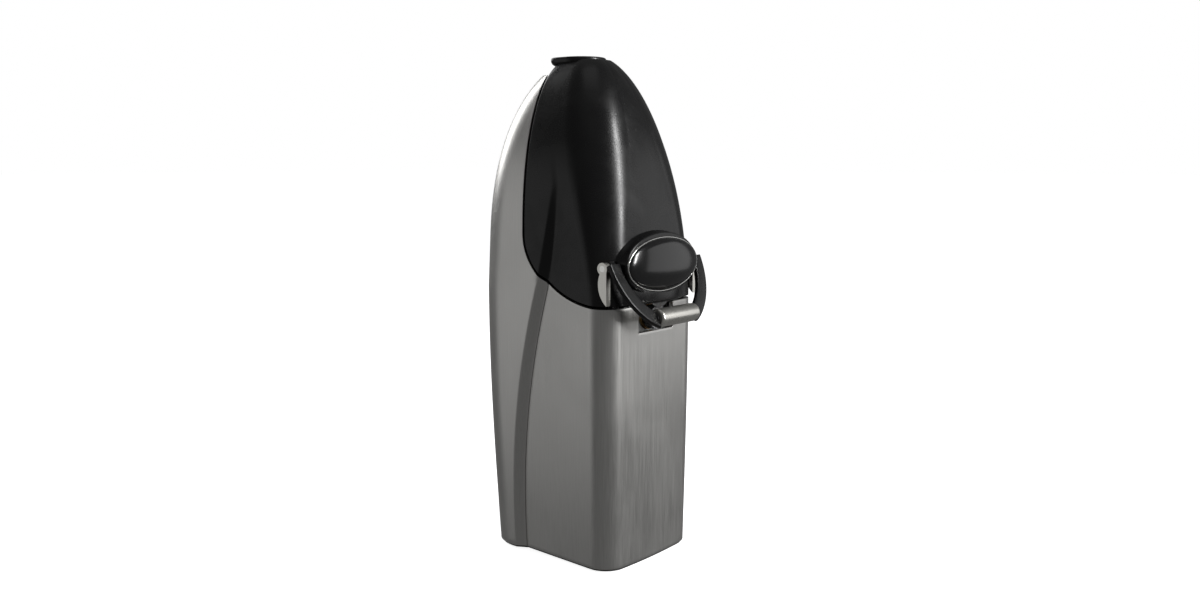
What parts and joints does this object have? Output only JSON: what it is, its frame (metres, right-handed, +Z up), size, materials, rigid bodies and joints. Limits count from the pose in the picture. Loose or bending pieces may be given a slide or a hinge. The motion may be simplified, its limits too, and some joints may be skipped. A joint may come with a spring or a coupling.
{
  "type": "electric can opener",
  "caption": "Tall upright electric can opener: brushed metal body, black lever with oval cap, cutter, drive wheel and swinging lid magnet.",
  "frame": {"origin": "on the surface that the feet stand on, under the middle of the dome", "axes": "+Z up, -Y towards the front with the cutter and the lid magnet, +X to the right seen from the front"},
  "size_m": [0.0734, 0.1062, 0.25],
  "materials": {
    "brushed_metal": "satin, brushed vertically",
    "black_plastic": "satin",
    "gloss_black": "polished",
    "rubber": "matte",
    "zinc_steel": "zinc plated",
    "bright_steel": "polished",
    "satin_silver": "satin",
    "tool_steel": "ground",
    "nylon": "natural, matt",
    "bronze": "sintered",
    "lamination": "stacked sheets",
    "copper": "enamelled wire",
    "aluminium": "cast",
    "grey_plastic": "matt"
  },
  "bodies": {
    "housing": {"rear_shell": "brushed_metal", "front_shell": "brushed_metal", "base_plate": "black_plastic", "feet": "rubber", "base_screws": "zinc_steel", "cord_inlet": "rubber", "inner_cover": "black_plastic", "front_plate": "zinc_steel", "rear_plate": "zinc_steel", "foot_bracket": "zinc_steel", "foot_screw": "zinc_steel", "standoffs": "zinc_steel", "plate_screws": "zinc_steel", "first_axle": "tool_steel", "second_axle": "tool_steel", "shaft_bushes": "bronze", "stator": "lamination", "windings": "copper", "motor_strap": "zinc_steel", "motor_posts": "zinc_steel", "motor_bushes": "bronze", "switch_body": "grey_plastic", "switch_bracket": "zinc_steel", "hinge_bracket": "zinc_steel", "hinge_pin": "tool_steel"},
    "drive": {"output_gear": "nylon", "drive_shaft": "tool_steel", "drive_wheel": "tool_steel"},
    "second_cluster": {"second_wheel": "nylon", "second_pinion": "tool_steel"},
    "first_cluster": {"first_wheel": "nylon", "first_pinion": "tool_steel"},
    "motor": {"motor_pinion": "bronze", "rotor": "lamination", "rotor_shaft": "tool_steel", "fan": "grey_plastic"},
    "plunger": {"switch_plunger": "nylon"},
    "lever": {"lever_shell": "black_plastic", "lever_arm": "zinc_steel", "cutter_bracket": "zinc_steel", "head_screws": "zinc_steel", "cutter_axle": "tool_steel", "cap": "gloss_black", "trim_ring": "bright_steel", "bail_ears": "satin_silver", "bail_pins": "bright_steel"},
    "cutter": {"cutter_wheel": "tool_steel"},
    "bail": {"bail": "black_plastic", "magnet": "bright_steel"}
  },
  "joints": [
    {"name": "lever_hinge", "type": "hinge", "parent": "housing", "child": "lever", "pos_m": [0, 0.0095, 0.236], "axis": [-1, 0, 0], "range_deg": [0, 14]},
    {"name": "bail_swing", "type": "hinge", "parent": "lever", "child": "bail", "pos_m": [0, -0.0375, 0.149], "axis": [-1, 0, 0], "range_deg": [0, 40]},
    {"name": "cutter_spin", "type": "hinge", "parent": "lever", "child": "cutter", "pos_m": [0, -0.044, 0.138], "axis": [0, -1, 0], "continuous": true},
    {"name": "drive_spin", "type": "hinge", "parent": "housing", "child": "drive", "pos_m": [0, -0.026, 0.123], "axis": [0, -1, 0], "continuous": true},
    {"name": "second_spin", "type": "hinge", "parent": "housing", "child": "second_cluster", "pos_m": [0.00605, -0.022, 0.09874], "axis": [0, -1, 0], "continuous": true},
    {"name": "first_spin", "type": "hinge", "parent": "housing", "child": "first_cluster", "pos_m": [-0.00569, -0.014, 0.07667], "axis": [0, -1, 0], "continuous": true},
    {"name": "motor_spin", "type": "hinge", "parent": "housing", "child": "motor", "pos_m": [0.00004, 0.016, 0.05336], "axis": [0, -1, 0], "continuous": true},
    {"name": "switch_press", "type": "slide", "parent": "housing", "child": "plunger", "axis": [0, 1, 0], "range_m": [0, 0.0015], "stiffness_N_per_m": 300, "springref_m": -0.002}
  ],
  "couplings": [
    {"joint": "first_spin", "follows": "motor_spin", "ratio": -0.25},
    {"joint": "second_spin", "follows": "motor_spin", "ratio": 0.078947},
    {"joint": "drive_spin", "follows": "motor_spin", "ratio": -0.033835}
  ]
}
